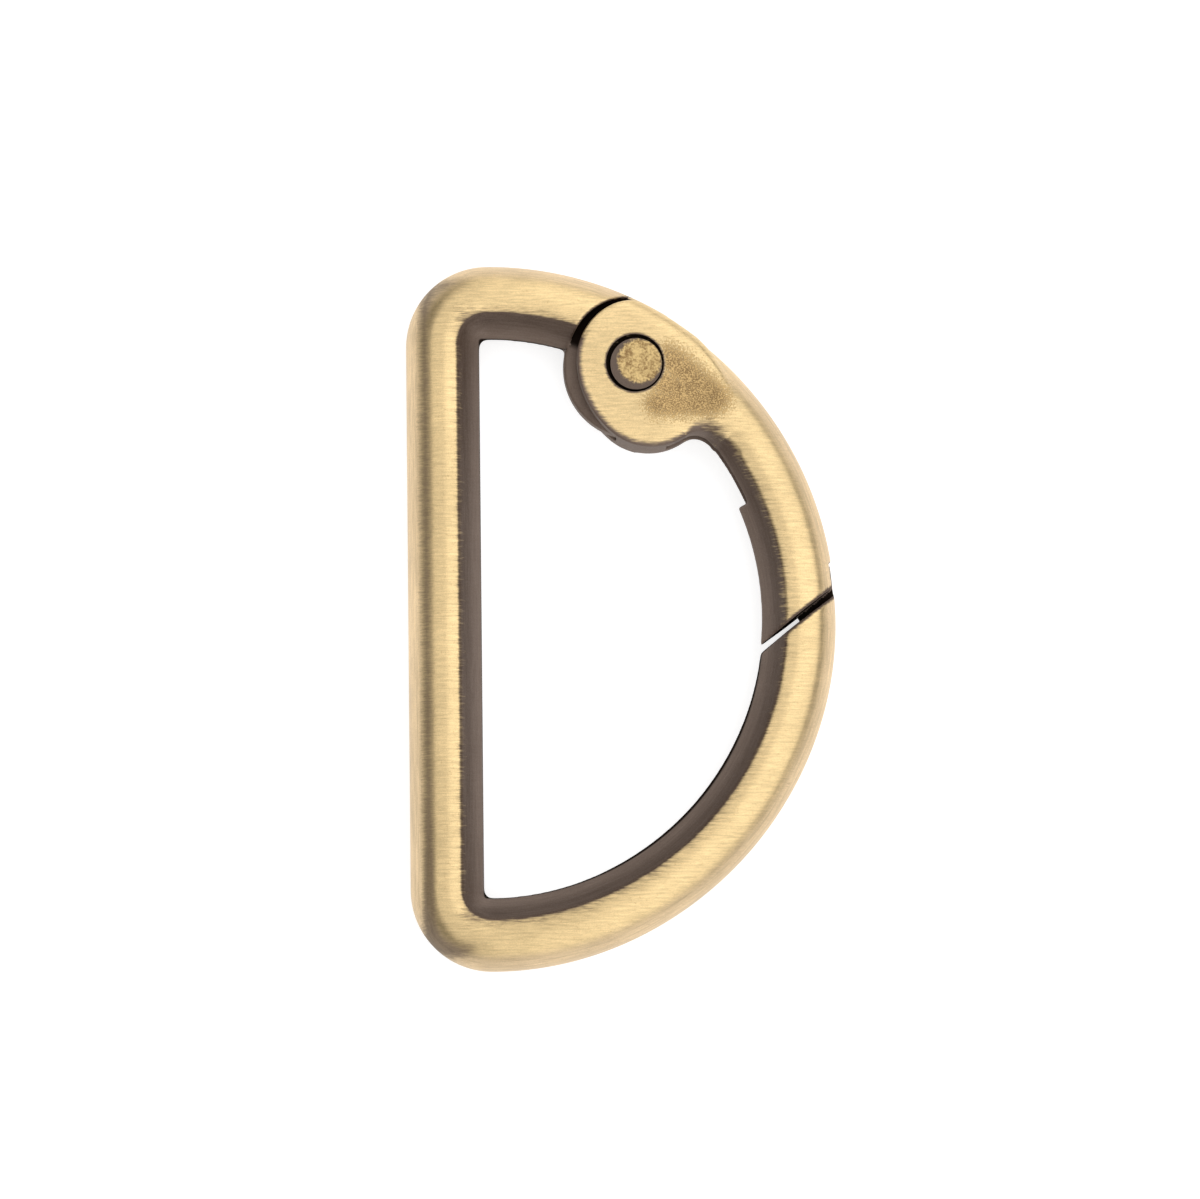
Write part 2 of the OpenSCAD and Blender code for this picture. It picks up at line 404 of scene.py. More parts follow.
# %% [markdown]
# Rounding the rims
# The ears' rims are rounded a little. The flat top and bottom are found by their faces' normals,
# and the loop of edges round them is bevelled. Towards the outside the ears are first cut back,
# because there the rounder shoulder of the arm takes over.

# %% Round the ears and join them to the arm
EAR_ROUND = 0.16
EAR_ROUND_STEPS = 4
OUTLINE_ROUND = 0.7
FLAT = 0.9


def round_rims(piece, width, segments):
    """Bevel the edges round a block's flat top and bottom."""
    only(piece)
    for face in piece.data.polygons:
        face.select = abs(face.normal.z) > FLAT
    bpy.ops.object.mode_set(mode="EDIT")
    bpy.ops.mesh.select_mode(type="FACE")
    bpy.ops.mesh.region_to_loop()
    bpy.ops.mesh.bevel(offset=width, segments=segments)
    bpy.ops.object.mode_set(mode="OBJECT")


combine(ears, disc(BOW_AT, OUT_R - OUTLINE_ROUND, *THROUGH, sides=FINE_SIDES), "INTERSECT")
round_rims(ears, EAR_ROUND, EAR_ROUND_STEPS)
combine(gate, ears, "UNION")
print("gate with ears:", len(gate.data.polygons), "faces")

# %% [markdown]
# Placing the neck
# Where the lobe meets the arm, the hollow corner is rounded. The round touches both, so its
# middle lies where two wider circles cross. Because the arm's wall slopes, that is worked out
# twice: at mid height, and at the height where the wall meets the arm's face.

# %% Find where the neck touches the lobe and the arm
NECK_R = 0.85
NECK_TOP_R = 1.15


def crossing(first, first_r, second, second_r):
    """Where two circles cross, on the left of the line from the first to the second."""
    between = second - first
    way = between.normalized()
    along = (between.length_squared + first_r**2 - second_r**2) / (2 * between.length)
    aside = sqrt(first_r**2 - along**2)
    return first + way * along + aside * Vector((-way.y, way.x))


def neck_corners(radius, arm_radius):
    """Where a neck of this radius touches the arm, its middle, and where it touches the lobe."""
    middle = crossing(LOBE_AT, EAR_R + radius, BOW_AT, arm_radius - radius)
    arm_side = BOW_AT + (middle - BOW_AT).normalized() * arm_radius
    return arm_side, middle, LOBE_AT + (middle - LOBE_AT).normalized() * EAR_R


neck = neck_corners(NECK_R, GATE_R)
neck_top = neck_corners(NECK_TOP_R, GATE_R + WALL_RUN)
print("neck's middle:", [round(v, 2) for v in neck[1]], "to", [round(v, 2) for v in neck_top[1]])

# %% [markdown]
# From ears to arm
# The ears' flat top runs on over the root of the arm, and narrows towards the arm's crown. A
# block with one corner for each step along the outline makes this shoulder. Its outer edges are
# bevelled, and what reaches past the ears' circle on the frame's side is cut off.

# %% Add the shoulder
SHOULDER_FROM = 72
SHOULDER_TO = 36
SHOULDER_STEPS = 18
SHOULDER_IN = 1.1
SHOULDER_NARROWS = 0.55
NARROWING_POWER = 1.4
OUTLINE_STEPS = 5
OUTLINE_DEPTH = 1.2
BEYOND_FROM, BEYOND_TO, BEYOND_REACH = 80, 58, 2
CLOSE = 0.01

shoulder_edge = []
for step in range(SHOULDER_STEPS + 1):
    share = step / SHOULDER_STEPS
    heading = SHOULDER_FROM + share * (SHOULDER_TO - SHOULDER_FROM)
    narrowing = max(0, share - SHOULDER_NARROWS) / (1 - SHOULDER_NARROWS)
    shoulder_edge.append(polar(OUT_R - SHOULDER_IN * narrowing**NARROWING_POWER, heading))
low_edge = polar(GATE_R + WALL_RUN, SHOULDER_TO)
shoulder = prism([PIN_AT, *shoulder_edge, low_edge, *neck_top], 0, RING_T)


def on_outline(point, height):
    """Whether a point of the shoulder lies on its outer edge at this height."""
    from_bow = (point.co.xy - BOW_AT).length
    return abs(point.co.z - height) < CLOSE and from_bow > OUT_R - OUTLINE_DEPTH


for height in (0, RING_T):
    pick(shoulder, lambda point: on_outline(point, height))
    bpy.ops.mesh.bevel(offset=OUTLINE_ROUND, segments=OUTLINE_STEPS)
    bpy.ops.object.mode_set(mode="OBJECT")
far = OUT_R + BEYOND_REACH
beyond_corners = [EAR_AT, polar(GATE_R, BEYOND_FROM), polar(far, BEYOND_FROM), polar(far, BEYOND_TO)]
beyond = prism(beyond_corners, *THROUGH)
combine(beyond, disc(EAR_AT, EAR_R, THROUGH[0] - PAST_FACE, THROUGH[1] + PAST_FACE), "DIFFERENCE")
combine(shoulder, beyond, "DIFFERENCE")
combine(gate, shoulder, "UNION")
print("gate with shoulder:", len(gate.data.polygons), "faces")

# %% [markdown]
# The neck
# The neck is added as a web on each side of the middle, whose far face is moved to its own
# corners. Then a cone is cut from each web: a disc whose far end is widened and moved in the
# same way. So the round touches the lobe and the arm's wall at every height.

# %% Round the neck
WEB_IN = 1.5
CONE_PAST = 0.3

heading = degrees(atan2(neck[1].y, neck[1].x - BAR_X))
for side in (1, -1):
    web_z = MIDDLE_Z + side * RING_T / 2
    web_corners = [LOBE_AT, polar(GATE_R + WEB_IN, heading), *neck]
    web = prism(web_corners, *sorted((MIDDLE_Z, web_z)))
    for low_corner, top_corner in zip(neck, neck_top):
        place = Vector((*low_corner, web_z))
        drift = (top_corner - low_corner) * RING_T / 2 / WALL_RISE
        shift(web, lambda point: (point.co - place).length < CLOSE, (*drift, 0))
    combine(gate, web, "UNION")

cone_height = RING_T / 2 + CONE_PAST
share = cone_height / WALL_RISE
wider = 1 + (NECK_TOP_R / NECK_R - 1) * share
for side in (1, -1):
    end_z = MIDDLE_Z + side * cone_height
    cone = disc(neck[1], NECK_R, *sorted((MIDDLE_Z, end_z)))
    pick(cone, lambda point: abs(point.co.z - end_z) < CLOSE)
    bpy.ops.transform.resize(value=(wider, wider, 1), center_override=(*neck[1], end_z))
    bpy.ops.transform.translate(value=(*((neck_top[1] - neck[1]) * share), 0))
    bpy.ops.object.mode_set(mode="OBJECT")
    combine(gate, cone, "DIFFERENCE")
print("gate with neck:", len(gate.data.polygons), "faces")

# %% [markdown]
# The slot in the gate
# The frame's tongue turns between the two ears, and the slot runs on down the arm, where the
# leg of the spring lies. A flat slice through the middle makes both, and a smaller one at the
# tip takes the stop lug.

# %% Cut the slot
SLOT_T = 1.22
SLOT_R = 3.37
SLOT_WALL = 1.3
SLOT_END = 23
SLOT_STEPS = 8
PAST_WALL = 2

slot_low, slot_high = MIDDLE_Z - SLOT_T / 2, MIDDLE_Z + SLOT_T / 2
slot_step = (HINGE_DEG - SLOT_END) / SLOT_STEPS
rim = [polar(OUT_R - SLOT_WALL, SLOT_END + step * slot_step) for step in range(SLOT_STEPS + 1)]
slice_along_arm = prism([polar(GATE_R - PAST_WALL, SLOT_END), PIN_AT, *reversed(rim)], slot_low, slot_high)
combine(gate, slice_along_arm, "DIFFERENCE")
combine(gate, disc(PIN_AT, SLOT_R, slot_low, slot_high), "DIFFERENCE")
combine(gate, lug_block(LUG_CLEAR), "DIFFERENCE")
print("gate with slot:", len(gate.data.polygons), "faces")

# %% [markdown]
# Softening the castings
# A cast part that has been tumbled and brushed has no sharp edge anywhere. Bevelling the edges
# that the cuts left would need clean faces along them. A voxel remesh makes an even grid of
# faces over the whole piece, and a few smoothing passes then give every edge the same rounding.

# %% Remesh and smooth
RING_GRAIN = 0.08
GATE_GRAIN = 0.062
SMOOTH_PASSES = 14


def soften(piece, grain):
    """Round all edges at the scale of the grain."""
    finish_step(piece, "REMESH", mode="VOXEL", voxel_size=grain)
    finish_step(piece, "SMOOTH", factor=0.5, iterations=SMOOTH_PASSES)
    print(f"{piece.name}: {len(piece.data.polygons)} faces of {grain} mm")


soften(ring, RING_GRAIN)
soften(gate, GATE_GRAIN)

# %% [markdown]
# The hollow beside the rivet
# Between the ears and the arm's crown, the face dips a little, and the brush never reached it.
# Proportional editing does this as a thumb would in clay: a few points are pushed down, and
# their neighbours follow less and less.

# %% Press the hollow
HOLLOW_AT = PIN_AT + Vector((2.5, -0.9))
HOLLOW_DEPTH = 0.14
HOLLOW_R = 0.5
HOLLOW_SPREAD = 1.5
FACE_DEPTH = 0.12


def push(way, spread):
    """Move the selected points, and let their neighbours follow."""
    bpy.ops.transform.translate(
        value=way,
        use_proportional_edit=True,
        proportional_edit_falloff="SMOOTH",
        proportional_size=spread,
    )
    bpy.ops.object.mode_set(mode="OBJECT")


def in_hollow(point, face_z):
    """Whether a point lies in the middle of the hollow, on the face at this height."""
    return abs(point.co.z - face_z) < FACE_DEPTH and (point.co.xy - HOLLOW_AT).length < HOLLOW_R


for side in (1, -1):
    pick(gate, lambda point: in_hollow(point, MIDDLE_Z + side * RING_T / 2))
    push((0, 0, -side * HOLLOW_DEPTH), HOLLOW_SPREAD)
print(f"hollow {HOLLOW_DEPTH} mm deep on both faces")

# %% [markdown]
# Rubbing out the creases
# The shoulder and the neck leave faint creases where they run out on the arm. They are rubbed
# smooth with the smooth operator, on the faces only, so that the slot between keeps its shape.

# %% Smooth the creases
CREASE_PASSES = 40
CREASE_FROM, CREASE_TO = 31, 56
CREASE_IN = 1.0
NECK_REACH = 1.5
OFF_SLOT = 0.3


def on_crease(point):
    """Whether a point lies on the run-out of the shoulder."""
    out = point.co.xy - BOW_AT
    return CREASE_FROM < degrees(atan2(out.y, out.x)) < CREASE_TO and out.length > GATE_R + CREASE_IN


def by_neck(point):
    """Whether a point lies round the neck."""
    return (point.co.xy - neck[1]).length < NECK_R + NECK_REACH


for wanted in (on_crease, by_neck):
    pick(gate, lambda point: abs(point.co.z - MIDDLE_Z) > SLOT_T / 2 + OFF_SLOT and wanted(point))
    bpy.ops.mesh.vertices_smooth(factor=0.5, repeat=CREASE_PASSES)
    bpy.ops.object.mode_set(mode="OBJECT")
print("creases smoothed in", CREASE_PASSES, "passes")

# %% [markdown]
# The flatter side of the bow
# The long side of the bow is a little flatter than a circle, as the real casting is. The same
# soft push does this, with a spread as wide as the bow's whole lower side.

# %% Flatten the bow
FLAT_AT = polar(OUT_R - RING_W / 2, -42)
FLAT_R = 2.4
FLAT_SPREAD = 9
FLATTER = 0.09

pick(ring, lambda point: (point.co.xy - FLAT_AT).length < FLAT_R)
push((*((BOW_AT - FLAT_AT).normalized() * FLATTER), 0), FLAT_SPREAD)
print(f"bow {FLATTER} mm flatter")

# %% [markdown]
# Thinning out
# The grid of small faces has done its work, and where the surface is plain it holds far more
# faces than it needs. Decimation takes them away there first.

# %% Keep fewer faces
RING_MOST = 185000
GATE_MOST = 190000


def thin_out(piece, most):
    """Keep at most so many triangles."""
    finish_step(piece, "DECIMATE", ratio=min(1, most / (2 * len(piece.data.polygons))))
    print(f"{piece.name}: {len(piece.data.polygons)} faces are kept")


thin_out(ring, RING_MOST)
thin_out(gate, GATE_MOST)

# %% [markdown]
# The rivet's bore
# The bore is cut after the softening, so that its rim stays crisp. It widens at its mouth, a
# little off its centre, which shows as a dark ring round the rivet.

# %% Bore the ears
BORE_CLEAR = 0.05
MOUTH_R = 1.315
MOUTH_AT = PIN_AT + Vector((-0.06, 0.03))
MOUTH_DEPTH = 0.35

combine(gate, disc(PIN_AT, PIN_R + BORE_CLEAR, *THROUGH), "DIFFERENCE")
for low, high in ((THROUGH[0], MOUTH_DEPTH), (RING_T - MOUTH_DEPTH, THROUGH[1])):
    combine(gate, disc(MOUTH_AT, MOUTH_R, low, high), "DIFFERENCE")
print("bored gate:", len(gate.data.polygons), "faces")

# %% [markdown]
# The spring's pocket
# The spring that shuts the gate lies in a pocket of the tongue. It has room for the coil, for
# the short leg, which is held there, and for the long leg's whole swing. Each room is a disc or
# a block placed from the spring's own sizes, so that wire and pocket fit each other.

# %% Cut the pocket
WIRE_R = 0.15
COIL_R = 1.40
COIL_TURNS = 1.08
LEG_DEG = -46
LEG_SWING = 55
HOLD_LENGTH = 1.6
SPRING_CLEAR = 0.08
TURN_CLEAR = 0.02
POCKET_DEPTH = 0.7
POCKET_OVER = 0.3
COIL_FROM = LEG_DEG + 90
COIL_TO = COIL_FROM + 360 * COIL_TURNS


def from_pin(radius, angle):
    """A point in the plane at a distance and a direction from the rivet."""
    return PIN_AT + Vector((radius * cos(radians(angle)), radius * sin(radians(angle))))


pocket_r = COIL_R + WIRE_R + SPRING_CLEAR
pocket_low, pocket_high = tongue_top - POCKET_DEPTH, tongue_top + POCKET_OVER
leg_root = from_pin(pocket_r, COIL_FROM)
leg_line = from_pin(2 * TONGUE_R, LEG_DEG) - PIN_AT
swung_leg = from_pin(2 * TONGUE_R, LEG_DEG - LEG_SWING)
swing_room = prism([leg_root, leg_root + leg_line, swung_leg, PIN_AT], pocket_low, pocket_high)

hold_line = from_pin(1, COIL_TO + 90) - PIN_AT
hold_half = from_pin(WIRE_R + TURN_CLEAR, COIL_TO) - PIN_AT
hold_root = from_pin(COIL_R, COIL_TO)
hold_end = hold_root + hold_line * (HOLD_LENGTH + TURN_CLEAR)
hold_corners = [hold_root - hold_half, hold_end - hold_half, hold_end + hold_half, hold_root + hold_half]
hold_room = prism(hold_corners, pocket_low, pocket_high)

for room in (disc(PIN_AT, pocket_r, pocket_low, pocket_high), hold_room, swing_room):
    combine(ring, room, "DIFFERENCE")
combine(ring, disc(PIN_AT, PIN_R, 0, RING_T), "DIFFERENCE")
print("frame with pocket:", len(ring.data.polygons), "faces")

# %% [markdown]
# The rivet
# The rivet is a short pin with rounded ends, left as cast. A cylinder whose rims are bevelled in
# a few steps gives it. Its ends are cut into rings by insets, so that the finish can change
# from the worn middle to the dark rim.

# %% Model the rivet
RIVET_ROUND = 0.28
RIVET_ROUND_STEPS = 6
END_RINGS = 8
END_RING_W = 0.1
END_FACE = 0.999

rivet = disc(PIN_AT, PIN_R, pin_low.z, pin_high.z)
rivet.name = "rivet"
round_rims(rivet, RIVET_ROUND, RIVET_ROUND_STEPS)
only(rivet)
for face in rivet.data.polygons:
    face.select = abs(face.normal.z) > END_FACE
bpy.ops.object.mode_set(mode="EDIT")
bpy.ops.mesh.select_mode(type="FACE")
for step in range(END_RINGS):
    bpy.ops.mesh.inset(thickness=END_RING_W)
bpy.ops.object.mode_set(mode="OBJECT")
print("rivet:", len(rivet.data.polygons), "faces")

# %% [markdown]
# The spring
# A torsion spring lies in the pocket and closes the gate: a short leg held in the tongue, one
# turn round the rivet, and a long leg that bears on the gate's slot. A circle of wire is
# extruded along the long leg, then extruded and turned in small steps round the coil, and
# extruded once more for the short leg.

# %% Wind the spring
LEG_LENGTH = 5
COIL_STEPS = 54
WIRE_SIDES = 12

coil_low = tongue_top - POCKET_DEPTH + TURN_CLEAR + WIRE_R
coil_rise = COIL_TURNS * (2 * WIRE_R + TURN_CLEAR)
leg_tip = from_pin(COIL_R, COIL_FROM) + from_pin(LEG_LENGTH, LEG_DEG) - PIN_AT
bpy.ops.object.select_all(action="DESELECT")
bpy.ops.mesh.primitive_circle_add(
    vertices=WIRE_SIDES,
    radius=WIRE_R,
    fill_type="NGON",
    location=(*leg_tip, coil_low),
    rotation=(radians(90), 0, radians(LEG_DEG + 90)),
)
spring = bpy.context.object
spring.name = "torsion_spring"
bpy.ops.object.transform_apply(location=True, rotation=True, scale=True)
bpy.ops.object.mode_set(mode="EDIT")
bpy.ops.mesh.select_all(action="SELECT")


def draw_wire(way):
    """Extrude the wire's end by a step."""
    bpy.ops.mesh.extrude_region_move(TRANSFORM_OT_translate={"value": way})


draw_wire((*(from_pin(LEG_LENGTH, LEG_DEG + 180) - PIN_AT), 0))
turn = -radians(360 * COIL_TURNS / COIL_STEPS)
for step in range(COIL_STEPS):
    draw_wire((0, 0, coil_rise / COIL_STEPS))
    bpy.ops.transform.rotate(value=turn, orient_axis="Z", center_override=(*PIN_AT, 0))
draw_wire((*(hold_line * HOLD_LENGTH), 0))
bpy.ops.mesh.select_all(action="SELECT")
bpy.ops.mesh.normals_make_consistent(inside=False)
bpy.ops.object.mode_set(mode="OBJECT")
corners = [Vector(corner) for corner in spring.bound_box]
print("spring from", [round(v, 2) for v in corners[0]], "to", [round(v, 2) for v in corners[6]])

# %% [markdown]
# Following the casting round
# Antique brass is darkened all over, and then brushed bright where the brush reaches. The
# brush doesn't reach the inner wall, the cuts and the slots, so they stay dark. A shader can't
# know how far a point lies from the casting's inner edge, so that is measured for each point.
# The outline is made of straight and round stretches, and each has its own simple measure.

# %% Measure depth, way and outward direction
SQUARISH_POWER = 6


def along_ring(x, y, inner_r, centre):
    """Depth from the inner edge, way along the casting, and its outward direction.

    The bow is drawn about a point that lies at centre from both middle lines."""
    side = np.where(y < 0, -1.0, 1.0)
    x, y = x - BAR_X, np.abs(y)
    bar = (x < centre) & (y < CORNER_Y)
    corner = (x < centre) & ~bar
    pivot_y = np.where(corner, CORNER_Y, centre)
    across_x, across_y = x - centre, y - pivot_y
    reach = np.hypot(across_x, across_y)
    # Where the finish is worn, the corners keep an edge that is nearly square
    power = SQUARISH_POWER
    squarish = (np.abs(across_x) ** power + np.abs(across_y) ** power) ** (1 / power)
    depth = np.where(bar, -x, np.where(corner, squarish - CORNER_R, reach - inner_r))
    out_x = np.where(bar, -1.0, across_x / reach)
    out_y = np.where(bar, 0.0, across_y / reach) * side
    bend = np.arctan2(across_y, across_x)
    turned = np.where(corner, pi - bend, pi / 2 - bend)
    corner_length = (CORNER_R + RING_W / 2) * pi / 2
    round_corner = turned * (CORNER_R + RING_W / 2)
    round_bow = corner_length + turned * (inner_r + RING_W / 2)
    way = np.where(bar, y, CORNER_Y + np.where(corner, round_corner, round_bow))
    return depth, way * side, out_x, out_y


depth = along_ring(np.array([BAR_X, ring_low.x]), np.zeros(2), CORNER_Y, CORNER_R)[0]
print("depth at the bar's inner and outer edge:", depth.round(2))

# %% [markdown]
# Reading a piece's surface
# Each point's place and normal are read at once as arrays, because a loop over a hundred
# thousand points would be slow. The results are stored as attributes, numbers for each point
# that a material can read. They stay with the piece in every view.

# %% Read and store a number for each point
class Skin:
    """The places and directions of a casting's points, as arrays."""

    def __init__(self, piece, inner_r, centre):
        self.piece = piece
        count = len(piece.data.vertices)
        places, normals = np.empty(count * 3), np.empty(count * 3)
        piece.data.vertices.foreach_get("co", places)
        piece.data.vertices.foreach_get("normal", normals)
        self.x, self.y, z = places.reshape(-1, 3).T
        self.height = np.abs(z - MIDDLE_Z)
        self.depth, self.way, self.out_x, self.out_y = along_ring(self.x, self.y, inner_r, centre)
        normal_x, normal_y, self.facing_up = normals.reshape(-1, 3).T
        self.facing_out = normal_x * self.out_x + normal_y * self.out_y
        self.across, self.along = from_cut(self.x, self.y)
        self.on_wall = 1 - smooth(WALL_RUN - 0.10, WALL_RUN + 0.04, self.depth)

    def store(self, **numbers):
        """Keep numbers for each point as attributes, under their names."""
        for name, values in numbers.items():
            layer = self.piece.data.attributes.new(name, "FLOAT", "POINT")
            values = np.broadcast_to(values, self.x.shape)
            layer.data.foreach_set("value", np.ascontiguousarray(values, np.float32))

    def store_brushing(self, share=1):
        """Keep what steers the brush marks, with the share that runs lengthwise on the sides."""
        lengthwise = side_brushing(self.facing_out) * share
        self.store(way=self.way, out_x=self.out_x, out_y=self.out_y, lengthwise=lengthwise)


def from_cut(x, y):
    """Distance from the middle of the slanted gap, and the way along it."""
    dx, dy = x - CUT_AT.x, y - CUT_AT.y
    return dx * ACROSS_CUT.x + dy * ACROSS_CUT.y, dx * ALONG_CUT.x + dy * ALONG_CUT.y


def smooth(low, high, value):
    """0 below low and 1 above high, with a soft step between."""
    share = np.clip((value - low) / (high - low), 0, 1)
    return share * share * (3 - 2 * share)


def side_brushing(facing_out):
    """1 on the outer sides, which are brushed lengthwise, and 0 on the faces."""
    return smooth(0.5, 0.8, facing_out)


on_ring = Skin(ring, CORNER_Y, CORNER_R)
on_gate = Skin(gate, GATE_R, 0.0)
for skin in (on_ring, on_gate):
    lengthwise_share = side_brushing(skin.facing_out).mean()
    print(f"{skin.piece.name}: {lengthwise_share:.0%} of the points are brushed lengthwise")

# %% [markdown]
# The painted dark reflection
# Along the bar, between the brushed face and the brushed outer side, the metal reflects the dark
# gap beside the light boxes. This dark band is painted into the colour as a painted reflection.
# It fades round the corners and is faint on the bow. It is drawn as a ridge: 1 in its middle and
# 0 at its edges, in millimetres from the outer edge.

# %% Paint the dark reflection band
BAND_MIDDLE, BAND_HALF = 0.82, 0.40
BAND_MIDDLE_GROWS, BAND_HALF_GROWS = 0.1, 0.25
BOW_BAND_MIDDLE, BOW_BAND_HALF = 0.62, 0.35
BOW_BAND_STRENGTH = 0.12


def dark_band(skin):
    """How strongly the dark reflection is painted between the face and the outer side: most on the bar."""
    on_bar = skin.out_x < 0
    turned = 1 - skin.out_x**2
    strength = smooth(0.0, 0.8, np.abs(skin.out_x)) * np.where(on_bar, 1.0, BOW_BAND_STRENGTH)
    middle = np.where(on_bar, BAND_MIDDLE + BAND_MIDDLE_GROWS * turned, BOW_BAND_MIDDLE)
    half = np.where(on_bar, BAND_HALF + BAND_HALF_GROWS * turned, BOW_BAND_HALF)
    return strength * (1 - np.abs(RING_W - skin.depth - middle) / half)


band = dark_band(on_ring)
print(f"the band covers {(band > 0).mean():.0%} of the frame's points")

# %% [markdown]
# The finish on the frame
# Two numbers steer the finish. The first, worn, is positive where the brush has bared the
# brass, and grows with the distance from where it starts. The second, edge, is near zero in
# cracks and at sharp inner edges, where the patina is painted black as painted shadow. The
# tongue's outer side is brushed with the ring's.

# %% Wear the frame
FACE_SLOPE = 0.7
RING_FACE_EDGE = 0.62
RING_WALL_SHADE = 0.45
RING_FACING_IN = (0.3, 0.65)
WALL_DARKER = 2
ENDS_DARKER = 0.2
SHARP = 6
CUT_BARE = 0.12
GROOVE_BARE = 0.06
BY_CUT = 6
IN_CRACK = 0.03
NO_CRACK = 0.5
TONGUE_EDGE = 0.15
TONGUE_SIDE_FROM = 0.2
LOW_CORNER = (-13, -7)
LOW_CORNER_DARKER = 0.6


def wear_ring(skin):
    """Where the frame's brass is bare, and how near its edges are, where black is painted as shadow."""
    to_pin = np.hypot(skin.x - PIN_AT.x, skin.y - PIN_AT.y)
    to_groove = to_pin - EYE_R - GROOVE
    nose = (skin.x > BAR_X + OUT_R / 2) & (np.abs(skin.y) < BY_CUT)
    worn = FACE_SLOPE * (skin.depth - RING_FACE_EDGE) - WALL_DARKER * skin.on_wall
    worn -= ENDS_DARKER * skin.out_y**2 + RING_WALL_SHADE * smooth(*RING_FACING_IN, -skin.facing_out)
    worn = np.minimum(worn, SHARP * (to_groove - GROOVE_BARE))
    worn = np.where(nose, np.minimum(worn, SHARP * (-skin.across - CUT_GAP / 2 - CUT_BARE)), worn)
    on_tongue = (to_pin < TONGUE_R + 0.1) & ~((to_groove > 0.02) & (skin.depth > 0))
    # A low edge paints the patina black as painted shadow: along the inner edge and in the cut
    edge = np.where(on_tongue, TONGUE_EDGE * (1 - smooth(-0.4, 0.6, skin.depth)), skin.depth)
    on_lug = (skin.across > CUT_GAP / 2) & (skin.height < LUG_T / 2 + 0.05)
    in_cut = nose & (skin.across > -CUT_GAP / 2 - IN_CRACK)
    edge = np.where(in_cut, np.where(on_lug, NO_CRACK, 0.0), edge)
    tongue_side = smooth(TONGUE_SIDE_FROM, 0.6, skin.facing_out) * (to_groove < 0.02)
    tongue_side *= smooth(RING_W - 0.8, RING_W - 0.3, skin.depth)
    return np.maximum(worn, 1.3 * tongue_side - 0.8), np.maximum(edge, NO_CRACK * tongue_side)


worn, edge = wear_ring(on_ring)
# The painted dark reflection is made stronger towards the bar's low corner
band *= 1 + LOW_CORNER_DARKER * (1 - smooth(*LOW_CORNER, on_ring.y))
on_ring.store(worn=worn, edge=edge, band=band, cast=0)
on_ring.store_brushing()
print(f"bare brass on {(worn > 0).mean():.0%} of the frame's points")

# %% [markdown]
# Distances on the ears
# The ears' rim is a row of arcs: two circles joined by a line, the bulge towards the bar, and
# the neck. The distance to a line and the heading about a centre tell which arc a point is
# nearest to, and how far it lies from it.

# %% Measure distances on the ears
def from_line(x, y, start, end):
    """Distance from a straight line between two places."""
    way = end - start
    share = np.clip(((x - start.x) * way.x + (y - start.y) * way.y) / way.length_squared, 0, 1)
    return np.hypot(x - start.x - share * way.x, y - start.y - share * way.y)


def heading_share(x, y, middle, start, end):
    """Heading of each point, seen from the middle: 0 towards the start and 1 towards the end."""
    first = atan2(start.y - middle.y, start.x - middle.x)
    whole = (atan2(end.y - middle.y, end.x - middle.x) - first + pi) % (2 * pi) - pi
    turned = (np.arctan2(y - middle.y, x - middle.x) - first + pi) % (2 * pi) - pi
    return turned / whole


def inside_ears(x, y):
    """Distance inwards from the ears' rim, negative outside it."""
    ear = EAR_R - from_line(x, y, EAR_AT, LOBE_AT)
    share = heading_share(x, y, BULGE_AT, EAR_AT, LOBE_AT)
    in_bulge = BULGE_R - np.hypot(x - BULGE_AT.x, y - BULGE_AT.y)
    return np.where((share > 0) & (share < 1), np.maximum(ear, in_bulge), ear)


inside = inside_ears(on_gate.x, on_gate.y)
print(f"{(inside > 0).mean():.0%} of the gate's points lie on the ears")

# %% [markdown]
# The finish on the gate
# The gate is worn like the frame, and its ears right up to their rim. Round the neck, the edge
# of the bare brass follows the neck's arc from the lobe to the arm. The slot, the room for the
# lug and the bore's mouth stay dark.

# %% Wear the gate
FACE_EDGE = 0.76
WALL_SHADE = 0.3
FACING_IN = (0.3, 0.7)
RIM_EDGE = 0.08
CRISP = 3
MOUTH_BARE = 0.05


def wear_gate(skin, inside, to_mouth, from_neck, neck_share):
    """Where the gate's brass is bare."""
    round_neck = (neck_share > 0) & (neck_share < 1)
    on_face = FACE_SLOPE * (skin.depth - FACE_EDGE) - WALL_DARKER * skin.on_wall
    on_face -= WALL_SHADE * smooth(*FACING_IN, -skin.facing_out)
    worn = np.maximum(on_face, CRISP * (inside - RIM_EDGE - EAR_ROUND / 2))
    slope = FACE_SLOPE + (CRISP - FACE_SLOPE) * smooth(0.4, 1, neck_share)
    start = FACE_EDGE - WALL_RUN + neck_share * (1 - neck_share)
    worn = np.where(round_neck, np.minimum(slope * (from_neck - start), 1), worn)
    at_tip = skin.y < BY_CUT
    worn = np.where(at_tip, np.minimum(worn, SHARP * (skin.across - CUT_GAP / 2 - CUT_BARE)), worn)
    worn = np.minimum(worn, SHARP * (to_mouth - MOUTH_BARE))
    in_slot = (skin.height < SLOT_T / 2 + IN_CRACK) & (skin.depth < RING_W - SLOT_WALL + 0.1)
    lug_inner = RING_W / 2 / cos(radians(CUT_SLANT)) - LUG_W - LUG_CLEAR
    lug_end = CUT_GAP / 2 + LUG_REACH + LUG_CLEAR
    in_lug_room = at_tip & (skin.across < lug_end + IN_CRACK) & (skin.along > lug_inner - IN_CRACK)
    in_lug_room &= (skin.height < LUG_T / 2 + LUG_CLEAR + IN_CRACK) & (skin.depth < RING_W - 0.05)
    return np.where(in_slot | in_lug_room, -1, worn)


